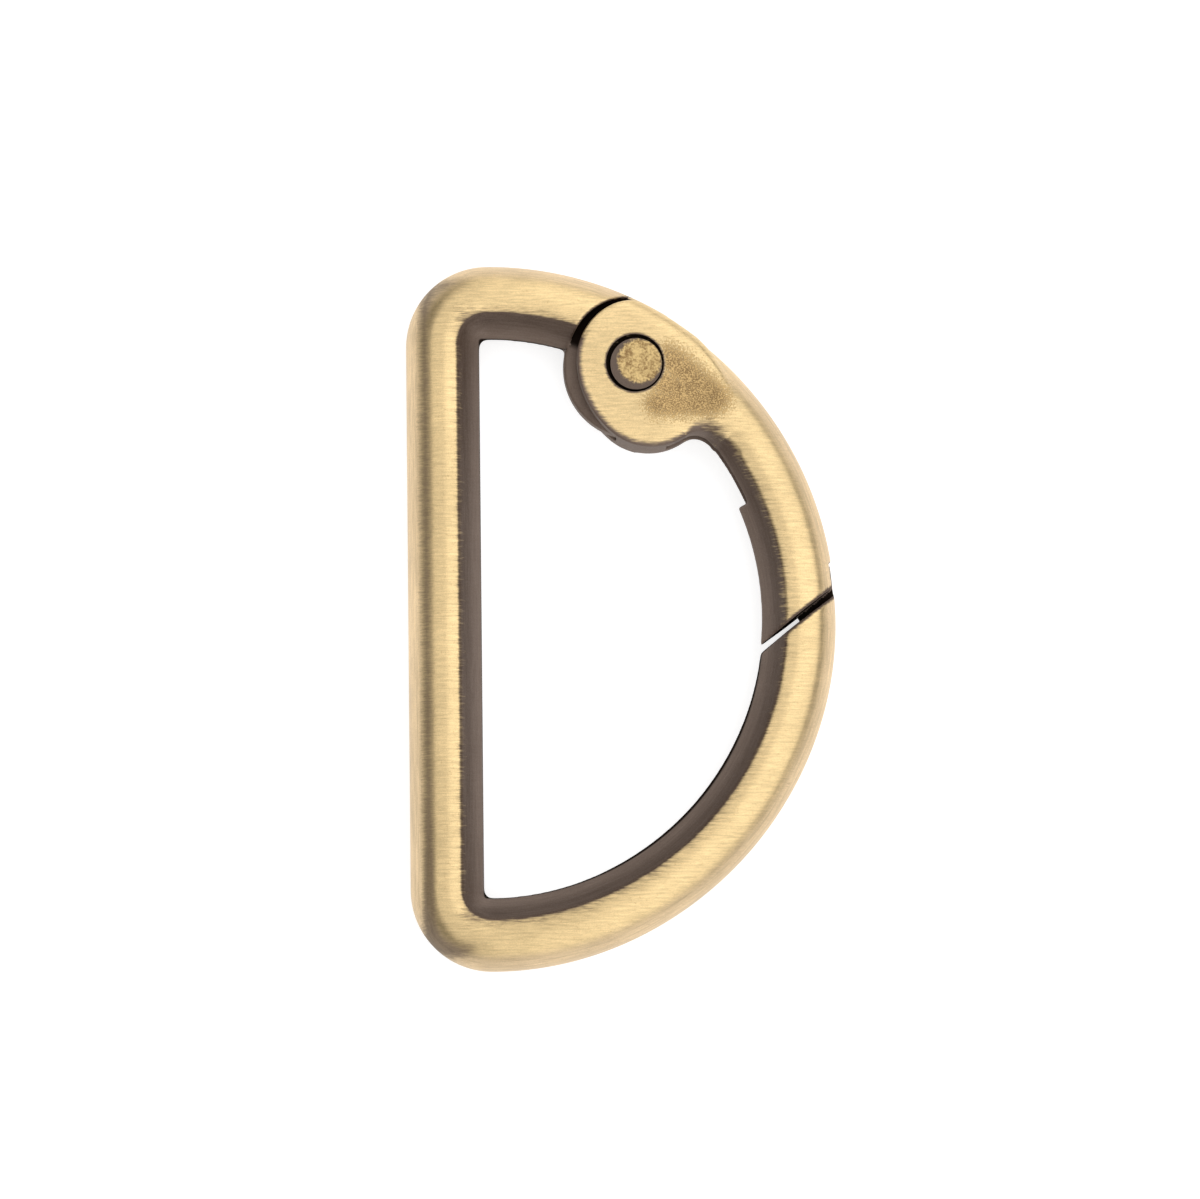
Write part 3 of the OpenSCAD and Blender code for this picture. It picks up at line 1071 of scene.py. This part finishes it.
to_mouth = np.hypot(on_gate.x - MOUTH_AT.x, on_gate.y - MOUTH_AT.y) - MOUTH_R
from_neck = np.hypot(on_gate.x - neck_top[1].x, on_gate.y - neck_top[1].y) - NECK_TOP_R
neck_share = heading_share(on_gate.x, on_gate.y, neck_top[1], neck_top[0], LOBE_AT)
worn = wear_gate(on_gate, inside, to_mouth, from_neck, neck_share)
print(f"bare brass on {(worn > 0).mean():.0%} of the gate's points")

# %% [markdown]
# The unbrushed fan
# Beside the rivet the hollow kept its cast grain. It is a fan of three broad strokes from the
# rivet towards the arm. A stroke is the distance from a line, softened to nothing at its width.

# %% Draw the fan and store the gate's finish
FAN_STROKES = (
    ((1.5, 0.2), (3.6, -1.6), 1.4),
    ((1.0, -1.8), (3.3, -1.8), 1.3),
    ((1.2, -0.9), (3.0, -1.5), 1.3),
)
FAN_OFF_WALL = 0.9
HINGE_END = (40, 50)

fan = np.zeros(len(on_gate.x))
for start, end, width in FAN_STROKES:
    away = from_line(on_gate.x, on_gate.y, PIN_AT + Vector(start), PIN_AT + Vector(end))
    fan = np.maximum(fan, smooth(width, 0, away))
round_neck = (neck_share > 0) & (neck_share < 1)
off_rim = np.where(round_neck, from_neck, np.maximum(inside, on_gate.depth - FAN_OFF_WALL))
fan *= smooth(0.0, 0.15, to_mouth) * smooth(0.1, 0.6, off_rim)

neck_wall = np.hypot(on_gate.x - neck[1].x, on_gate.y - neck[1].y) - NECK_R
# A low edge paints the patina black as painted shadow: along the inner edge, in the cut and in the bore's
# mouth
edge = np.maximum(np.maximum(on_gate.depth, inside + 0.06), np.clip(neck_wall, 0, 0.15))
in_cut = (on_gate.y < BY_CUT) & (on_gate.across < CUT_GAP / 2 + IN_CRACK)
edge = np.where(in_cut | (to_mouth < 0.012), 0.0, edge)
# Towards the hinge, the outer side is brushed like the faces
on_arm = 1 - smooth(*HINGE_END, np.degrees(np.arctan2(on_gate.y, on_gate.x - BAR_X)))
# The gate's arm gets the same painted dark reflection, fading towards the hinge
on_gate.store(worn=worn, edge=edge, band=dark_band(on_gate) * on_arm, cast=fan)
on_gate.store_brushing(on_arm)
print(f"the fan covers {(fan > 0.5).mean():.0%} of the gate's points")

# %% [markdown]
# The finish on the rivet
# The rivet's ends are bare in the middle, a little off centre, and dark towards the rim and on
# the sides.

# %% Wear the rivet
RIVET_WORN_R = 0.97
RIVET_WORN_AT = PIN_AT + Vector((0.15, 0.12))
ON_END = 0.3

on_rivet = Skin(rivet, GATE_R, 0.0)
from_worn = np.hypot(on_rivet.x - RIVET_WORN_AT.x, on_rivet.y - RIVET_WORN_AT.y)
worn = np.where(np.abs(on_rivet.facing_up) > ON_END, RIVET_WORN_R - from_worn, -1)
on_rivet.store(worn=worn)
print(f"bare brass on {(worn > 0).mean():.0%} of the rivet's points")

# %% [markdown]
# Into metres
# The pieces were modelled in millimetres. Now they are scaled to metres in their own meshes, so
# that each object sits unturned and unscaled at the origin. Shading them smooth, but not across
# sharp edges, hides the small faces.

# %% Scale the pieces
SMOOTH_BELOW = 50


def to_metres(piece):
    """Scale a finished piece to metres, with its place in its mesh."""
    only(piece)
    piece.scale = (MM, MM, MM)
    bpy.ops.object.transform_apply(location=False, rotation=False, scale=True)
    bpy.ops.object.shade_smooth_by_angle(angle=radians(SMOOTH_BELOW))


for piece in (ring, gate, rivet, spring):
    to_metres(piece)
farthest = max(point.co.length for point in ring.data.vertices)
print(f"the frame now reaches {farthest:.4f} m from the middle")

# %% [markdown]
# Onto the bodies
# Each piece rides on the body that it belongs to, and takes the place of its plain solid. The
# spring joins two bodies and is put on neither: it stays where it was wound.

# %% Place the pieces
for piece, body, node, slot in (
    (ring, "frame", "frame", "brushed_antique_brass"),
    (gate, "gate", "gate", "brushed_antique_brass"),
    (rivet, "frame", "pin", "cast_antique_brass"),
    (spring, None, "spring", "spring_wire"),
):
    if body:
        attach(piece, body)
    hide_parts(node)

# Seen from the rivet, the roots of the legs lie side by side, a little less than a turn apart
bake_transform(spring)

# %% [markdown]
# Building a material
# A material is a small net of nodes. A helper class keeps it readable: it adds a node with its
# values, and has short words for the sums, noises and mixes that the finishes use. A value that
# is the same all over the piece is set on the shader's own socket.

# %% Helpers for nodes
class Finish:
    """A new material, its shader, and short ways to add and link nodes."""

    def __init__(self, name):
        self.material = bpy.data.materials.new(name)
        self.material.use_nodes = True
        self.tree = self.material.node_tree
        self.shader = self.tree.nodes["Principled BSDF"].inputs
        self.place = self.node("TexCoord").outputs["Object"]
        print("new finish:", name)

    def feed(self, socket, value):
        """Link an output to a socket, or set the socket to a constant."""
        if isinstance(value, bpy.types.NodeSocket):
            self.tree.links.new(value, socket)
        else:
            socket.default_value = value

    def node(self, kind, *values, **fields):
        """Add a node, set its fields, and feed its first sockets."""
        made = self.tree.nodes.new("ShaderNode" + kind)
        for name, value in fields.items():
            setattr(made, name, value)
        for socket, value in zip(made.inputs, values):
            self.feed(socket, value)
        return made

    def attribute(self, name):
        return self.node("Attribute", attribute_name=name).outputs["Fac"]

    def math(self, operation, *values):
        return self.node("Math", *values, operation=operation).outputs[0]

    def times(self, first, *others):
        for value in others:
            first = self.math("MULTIPLY", first, value)
        return first

    def plus(self, first, *others):
        for value in others:
            first = self.math("ADD", first, value)
        return first

    def less(self, a, b):
        return self.math("SUBTRACT", a, b)

    def combine(self, x, y, z):
        return self.node("CombineXYZ", x, y, z).outputs[0]

    def noise(self, place, scale, detail=2.0, rough=0.5):
        made = self.node("TexNoise", place)
        for name, value in (("Scale", scale), ("Detail", detail), ("Roughness", rough)):
            made.inputs[name].default_value = value
        return made.outputs["Fac"]

    def streaks(self, values, scales, detail, rough):
        """Noise that is stretched, by scaling each direction of its place by itself."""
        place = self.combine(*(self.times(value, scale) for value, scale in zip(values, scales)))
        return self.noise(place, 1.0, detail, rough)

    def step(self, value, low, high, out_low=0.0, out_high=1.0):
        """A soft step from out_low to out_high, as the value goes from low to high."""
        made = self.node("MapRange", value, low, high, out_low, out_high, interpolation_type="SMOOTHSTEP")
        return made.outputs[0]

    def mix(self, share, a, b, blend_type="MIX"):
        """A mix of two colours."""
        made = self.node("Mix", share, data_type="RGBA", blend_type=blend_type)
        self.feed(made.inputs[6], a)
        self.feed(made.inputs[7], b)
        return made.outputs[2]

    def bump(self, height, strength, distance):
        """Raise the surface's shading by a height, over a distance in metres."""
        made = self.node("Bump")
        made.inputs["Strength"].default_value = strength
        made.inputs["Distance"].default_value = distance
        self.feed(made.inputs["Height"], height)
        self.feed(self.shader["Normal"], made.outputs[0])


brass = Finish("brushed antique brass")

# %% [markdown]
# Brush marks
# The brush left fine streaks. Over the faces it ran along X, and on the outer sides it followed
# the ring. A picture would need an unwrapped piece, so noise is stretched instead: its place is
# scaled far more across the brush's way than along it. The scales are for a metre, and for a
# millimetre where a stored measure is scaled.

# %% Draw the brush marks
FACE_STREAKS = (1000, 11000, 600)
SIDE_STREAKS = (0.6, 8, 8000)
SCRATCHES = (2200, 15000, 2200)

x, y, z = brass.node("SeparateXYZ", brass.place).outputs
edge = brass.attribute("edge")
lengthwise = brass.attribute("lengthwise")
face_streaks = brass.streaks((x, y, z), FACE_STREAKS, 3, 0.65)
side_streaks = brass.streaks((brass.attribute("way"), edge, z), SIDE_STREAKS, 2, 0.6)
on_faces = brass.times(face_streaks, brass.less(1, lengthwise))
streaks = brass.plus(on_faces, brass.times(side_streaks, lengthwise))
even = brass.less(streaks, 0.5)
print("nodes for the brush marks:", len(brass.tree.nodes))

# %% [markdown]
# Where the brass is bare
# The bare brass ends in a ragged edge, because each brush stroke reached a little further than
# the next. So the streaks, some blotches and some scratches shift the edge by tenths of a
# millimetre. The painted dark reflection on the bar is ragged in the same way.

# %% Find the bare brass
SHIFT_BY_STREAKS, SHIFT_BY_BLOTCH, SHIFT_BY_SCRATCHES = 0.65, 0.35, 0.65
BAND_RAGGED = 1.6
BAND_MOST = 0.74

blotch = brass.less(brass.noise(brass.place, 900, 3, 0.6), 0.5)
scratches = brass.less(brass.streaks((x, y, z), SCRATCHES, 2, 0.6), 0.5)
ragged = brass.plus(
    brass.times(even, SHIFT_BY_STREAKS),
    brass.times(blotch, SHIFT_BY_BLOTCH),
    brass.times(scratches, SHIFT_BY_SCRATCHES),
)
worn = brass.step(brass.plus(brass.attribute("worn"), ragged), -0.26, 0.42)
# The painted dark reflection holds back the bare brass, so the patina's colour shows in it
band = brass.plus(brass.attribute("band"), brass.times(ragged, BAND_RAGGED))
bare = brass.times(worn, brass.less(1, brass.step(band, 0.0, 1.15, 0, BAND_MOST)))
print("nodes with the worn edge:", len(brass.tree.nodes))

# %% [markdown]
# The colour of the brass
# Bare brass is golden on the faces and a little paler on the sides. Its tone changes with the
# streaks, in wide soft clouds and in tiny specks, and it is a little darker towards the low end of the
# bow.
# In the fan beside the rivet it keeps the grain of the casting, in dark and light spots.

# %% Colour the brass
BRASS = (0.80, 0.60, 0.315, 1)
TAN = (0.77, 0.585, 0.36, 1)
CAST_DARK = (0.26, 0.165, 0.075, 1)
CAST_LIGHT = (0.66, 0.46, 0.21, 1)
LOW_END = (-0.0150, -0.0050)

cloud = brass.step(brass.noise(brass.place, 260, 2, 0.5), 0.3, 0.7, 0.93, 1.05)
cloud = brass.times(cloud, brass.step(y, *LOW_END, 0.90, 1.0))
specks = brass.step(brass.noise(brass.place, 21000, 2, 0.6), 0.3, 0.7, 0.92, 1.08)
tone = brass.times(brass.step(streaks, 0.25, 0.75, 0.78, 1.10), cloud, specks)
grey = brass.combine(tone, tone, tone)
brushed = brass.mix(1.0, brass.mix(lengthwise, BRASS, TAN), grey, blend_type="MULTIPLY")
grain = brass.noise(brass.place, 16000, 2, 0.6)
cast = brass.mix(brass.step(grain, 0.38, 0.62), CAST_DARK, CAST_LIGHT)
cast_share = brass.plus(brass.attribute("cast"), brass.times(brass.less(grain, 0.5), 2.4))
cast_share = brass.step(cast_share, 0.28, 0.72)
metal = brass.mix(cast_share, brushed, cast)
print("nodes with the brass:", len(brass.tree.nodes))

# %% [markdown]
# The colour of the darkening
# The patina is a thin layer of oxide. It is deep brown next to the cracks and greyer where it is
# thin, with lengthwise stains. In the cracks themselves it is painted black, as painted shadow.

# %% Colour the patina
PATINA_DEEP = (0.070, 0.040, 0.024, 1)
PATINA_THIN = (0.190, 0.135, 0.103, 1)
CRACK_SHADOW_BLACK = (0.012, 0.008, 0.006, 1)

# 0 in the cracks, where black is painted as shadow over the patina, and 1 outside them
out_of_crack_shadow = brass.step(edge, 0.01, 0.085)
stains = brass.step(brass.plus(brass.times(side_streaks, 0.5), brass.times(grain, 0.5)), 0.3, 0.7)
stains = brass.plus(brass.times(stains, 0.4), brass.step(edge, 0.2, 0.75, 0.6, 0.0))
patina = brass.mix(out_of_crack_shadow, CRACK_SHADOW_BLACK, brass.mix(stains, PATINA_DEEP, PATINA_THIN))
brass.feed(brass.shader["Base Color"], brass.mix(bare, patina, metal))
print("nodes with the patina:", len(brass.tree.nodes))

# %% [markdown]
# The gloss of the brass
# Bare brass is a metal, and patina only partly. Both are rougher where they are darker. Brushed
# metal stretches its highlights across the grooves. The shader does this when it is told the way
# of the grooves: along X on the faces, and along the casting on its outer sides. Either end of a
# groove will do, so the end is taken that turns over to X without pointing straight outwards.

# %% Set the gloss and the grooves
ANISOTROPY = 0.65
QUARTER_TURN = 0.25

# In the cracks the painted shadow also takes away the metal and the gloss
metallic = brass.times(brass.step(bare, 0, 1, 0.3, 1.0), out_of_crack_shadow)
brass.feed(brass.shader["Metallic"], metallic)
rough_metal = brass.plus(brass.times(even, 0.2), 0.36, brass.times(cast_share, 0.2))
brass.feed(brass.shader["Roughness"], brass.plus(brass.times(brass.less(1, bare), 0.2), rough_metal))
brass.feed(brass.shader["Specular IOR Level"], brass.times(out_of_crack_shadow, 0.5))
brass.shader["Anisotropic"].default_value = ANISOTROPY
brass.shader["Anisotropic Rotation"].default_value = QUARTER_TURN

out_y = brass.attribute("out_y")
end = brass.less(1, brass.times(brass.math("GREATER_THAN", out_y, 0.0), 2))
groove_x = brass.plus(brass.less(1, lengthwise), brass.times(brass.math("ABSOLUTE", out_y), lengthwise))
groove_y = brass.times(brass.attribute("out_x"), end, lengthwise)
brass.feed(brass.shader["Tangent"], brass.combine(groove_x, groove_y, 0.0))
brass.bump(brass.plus(streaks, brass.times(grain, cast_share, 4.0)), 0.5, 0.00001)
print("nodes of the brushed brass:", len(brass.tree.nodes))

# %% [markdown]
# Cast brass for the rivet
# The rivet was never brushed. It shows the grain of the casting, golden with brown spots, and
# patina round its rim. A fine noise for the grain and a coarser one for the spots are enough.

# %% Make the cast brass
PATINA = (0.115, 0.078, 0.057, 1)
RIVET_DARK = (0.255, 0.157, 0.066, 1)
RIVET_LIGHT = (0.663, 0.482, 0.22, 1)

rough_cast = Finish("cast antique brass")
grain = rough_cast.noise(rough_cast.place, 9000, 3, 0.65)
spots = rough_cast.noise(rough_cast.place, 2300, 2, 0.5)
tone = rough_cast.plus(rough_cast.times(grain, 0.6), rough_cast.times(spots, 0.4))
colour = rough_cast.mix(rough_cast.step(tone, 0.36, 0.62), RIVET_DARK, RIVET_LIGHT)
ragged = rough_cast.times(rough_cast.less(grain, 0.5), 0.35)
worn = rough_cast.step(rough_cast.plus(rough_cast.attribute("worn"), ragged), -0.10, 0.08)
rough_cast.feed(rough_cast.shader["Base Color"], rough_cast.mix(worn, PATINA, colour))
rough_cast.feed(rough_cast.shader["Metallic"], rough_cast.step(worn, 0, 1, 0.4, 1.0))
rough_cast.shader["Roughness"].default_value = 0.42
rough_cast.bump(tone, 0.7, 0.00005)

# %% [markdown]
# Spring wire
# The spring is drawn steel wire: an even grey metal with hardly any pattern. Then each piece
# gets its finish. The frame and the gate share one, because they were finished together.

# %% Make the spring wire and give each piece its finish
WIRE_DARK = (0.42, 0.42, 0.43, 1)
WIRE_LIGHT = (0.58, 0.57, 0.56, 1)

wire = Finish("spring wire")
wire.feed(wire.shader["Base Color"], wire.mix(wire.noise(wire.place, 3000), WIRE_DARK, WIRE_LIGHT))
wire.shader["Metallic"].default_value = 1.0
wire.shader["Roughness"].default_value = 0.32

for piece, finish in ((ring, brass), (gate, brass), (rivet, rough_cast), (spring, wire)):
    piece.data.materials.clear()
    piece.data.materials.append(finish.material)
    print(piece.name, "in", finish.material.name)

# %% [markdown]
# The camera
# The camera looks almost straight down, as in the photograph: the thin view of the inner walls
# tells how far it leans back. Its long lens keeps the ring's near and far ends at one scale.

# %% Set the camera
FRAME_MM = 54.43
AIM = Vector((-0.99, 0.816, MIDDLE_Z)) * MM
UP = Vector((0.0106, 0.99994, 0))
DISTANCE = 0.40
LEAN_BACK = 5.5
LEAN_SIDE = 2.0
SENSOR = 36.0

look = -Vector((-tan(radians(LEAN_SIDE)), -tan(radians(LEAN_BACK)), 1)).normalized()
across = look.cross(UP).normalized()
camera_data = bpy.data.cameras.new("camera")
camera_data.sensor_width = SENSOR
camera_data.lens = SENSOR * DISTANCE / (FRAME_MM * MM)
camera_data.clip_start = 0.01
camera = bpy.data.objects.new("camera", camera_data)
bpy.context.scene.collection.objects.link(camera)
turned = Matrix((across, across.cross(look), -look)).transposed()
camera.matrix_world = Matrix.Translation(AIM - look * DISTANCE) @ turned.to_4x4()
bpy.context.scene.camera = camera
print(f"camera {DISTANCE} m away, with a lens of {camera_data.lens:.0f} mm")

# %% [markdown]
# The floor
# The ring lies on plain pale paper. Its slight glow stands for the bright surroundings of the
# photograph, which leave hardly any shadow.

# %% Lay the floor
FLOOR_SIZE = 4

bpy.ops.object.select_all(action="DESELECT")
bpy.ops.mesh.primitive_plane_add(size=FLOOR_SIZE, location=(0, 0, 0))
floor = bpy.context.object
floor.name = "floor"
paper = bpy.data.materials.new("paper")
paper.use_nodes = True
paint = paper.node_tree.nodes["Principled BSDF"].inputs
paint["Base Color"].default_value = (0.52, 0.52, 0.52, 1)
paint["Roughness"].default_value = 0.9
paint["Specular IOR Level"].default_value = 0.1
paint["Emission Color"].default_value = (1, 1, 1, 1)
paint["Emission Strength"].default_value = 0.72
floor.data.materials.append(paper)
print("floor:", FLOOR_SIZE, "m square")

# %% [markdown]
# The lights
# Polished metal shows its surroundings. The bands along the ring show two light boxes
# overhead, a dimmer one on the left and a brighter one on the right, with a gap between them,
# dark gaps towards the sides, and a low card on the left. The headings of a box's edges, seen
# from the ring, tell where its bands lie on the metal.

# %% Set the lights
HIGH = 0.3
BOX_LENGTH = 3.2
LEFT_BOX = (-41, -3.2, 0.85)
RIGHT_BOX = (-0.8, 66, 1.25)
CARD_AT = (-0.7, 0, 0.09)
CARD_SIZE = (0.18, 1.6)


def panel(name, place, towards, width, length, glow):
    """A soft panel of even brightness: glow is its radiance."""
    data = bpy.data.lights.new(name, "AREA")
    data.shape = "RECTANGLE"
    data.size, data.size_y = width, length
    data.energy = glow * width * length * pi
    lamp = bpy.data.objects.new(name, data)
    lamp.location = place
    lamp.rotation_euler = (Vector(towards) - Vector(place)).to_track_quat("-Z", "Y").to_euler()
    lamp.visible_camera = False
    bpy.context.scene.collection.objects.link(lamp)
    print(f"{name}: {width:.2f} x {length:.2f} m")


for name, (start, end, glow) in (("left box", LEFT_BOX), ("right box", RIGHT_BOX)):
    left, right = HIGH * tan(radians(start)), HIGH * tan(radians(end))
    middle = (left + right) / 2
    panel(name, (middle, 0, HIGH), (middle, 0, 0), right - left, BOX_LENGTH, glow)
panel("left card", CARD_AT, (0, 0, CARD_AT[2]), *CARD_SIZE, 1.0)

# %% [markdown]
# The surroundings and the last step A dim white world fills what the panels leave dark. The
# plain view transform keeps the brass as it is coloured.

# %% Light the surroundings and finish
WORLD_GLOW = 0.2

world = bpy.data.worlds.new("studio")
bpy.context.scene.world = world
world.use_nodes = True
background = world.node_tree.nodes["Background"].inputs
background["Color"].default_value = (1, 1, 1, 1)
background["Strength"].default_value = WORLD_GLOW
bpy.context.scene.view_settings.view_transform = "Standard"
print("world glow:", WORLD_GLOW)
